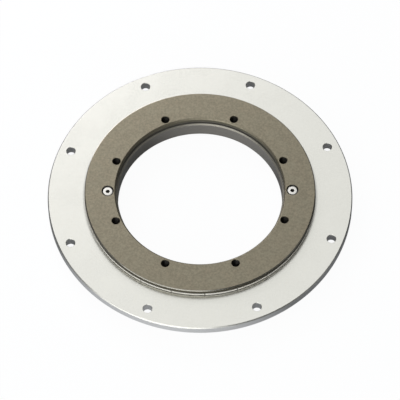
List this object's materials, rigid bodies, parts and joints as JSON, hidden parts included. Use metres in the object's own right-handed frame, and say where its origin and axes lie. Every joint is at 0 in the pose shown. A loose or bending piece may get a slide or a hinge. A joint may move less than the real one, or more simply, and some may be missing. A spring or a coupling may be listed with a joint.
{
  "type": "slewing ring",
  "caption": "Low slewing ring: a flat outer ring with fixing holes turns on clipped-in polymer sliding elements round a two-part screwed inner ring with an open bore.",
  "frame": {"origin": "on the turning axis, in the base's bottom face", "axes": "+Z is the turning axis and points up through the top plate; -Y is the side nearest in the picture; the two screws lie on X"},
  "size_m": [0.185, 0.185, 0.016],
  "materials": {
    "hard_anodised_plate": "matt hard anodised, grey-brown",
    "hard_anodised_base": "turned and hard anodised, grey",
    "clear_anodised": "satin clear anodised",
    "sliding_polymer": "moulded cream polymer",
    "screw_steel": "bright stainless"
  },
  "bodies": {
    "inner_ring": {"inner_ring_base": "hard_anodised_base", "inner_ring_top_plate": "hard_anodised_plate", "clamp_screw_1": "screw_steel", "clamp_screw_2": "screw_steel"},
    "turning_ring": {"outer_ring": "clear_anodised", "sliding_element_01": "sliding_polymer", "sliding_element_02": "sliding_polymer", "sliding_element_03": "sliding_polymer", "sliding_element_04": "sliding_polymer", "sliding_element_05": "sliding_polymer", "sliding_element_06": "sliding_polymer", "sliding_element_07": "sliding_polymer", "sliding_element_08": "sliding_polymer", "sliding_element_09": "sliding_polymer", "sliding_element_10": "sliding_polymer", "sliding_element_11": "sliding_polymer", "sliding_element_12": "sliding_polymer", "sliding_element_13": "sliding_polymer", "sliding_element_14": "sliding_polymer", "sliding_element_15": "sliding_polymer", "sliding_element_16": "sliding_polymer", "sliding_element_17": "sliding_polymer", "sliding_element_18": "sliding_polymer", "sliding_element_19": "sliding_polymer", "sliding_element_20": "sliding_polymer", "sliding_element_21": "sliding_polymer", "sliding_element_22": "sliding_polymer"}
  },
  "joints": [
    {"name": "ring_turn", "type": "hinge", "parent": "inner_ring", "child": "turning_ring", "pos_m": [0, 0, 0.008], "axis": [0, 0, 1], "continuous": true}
  ]
}
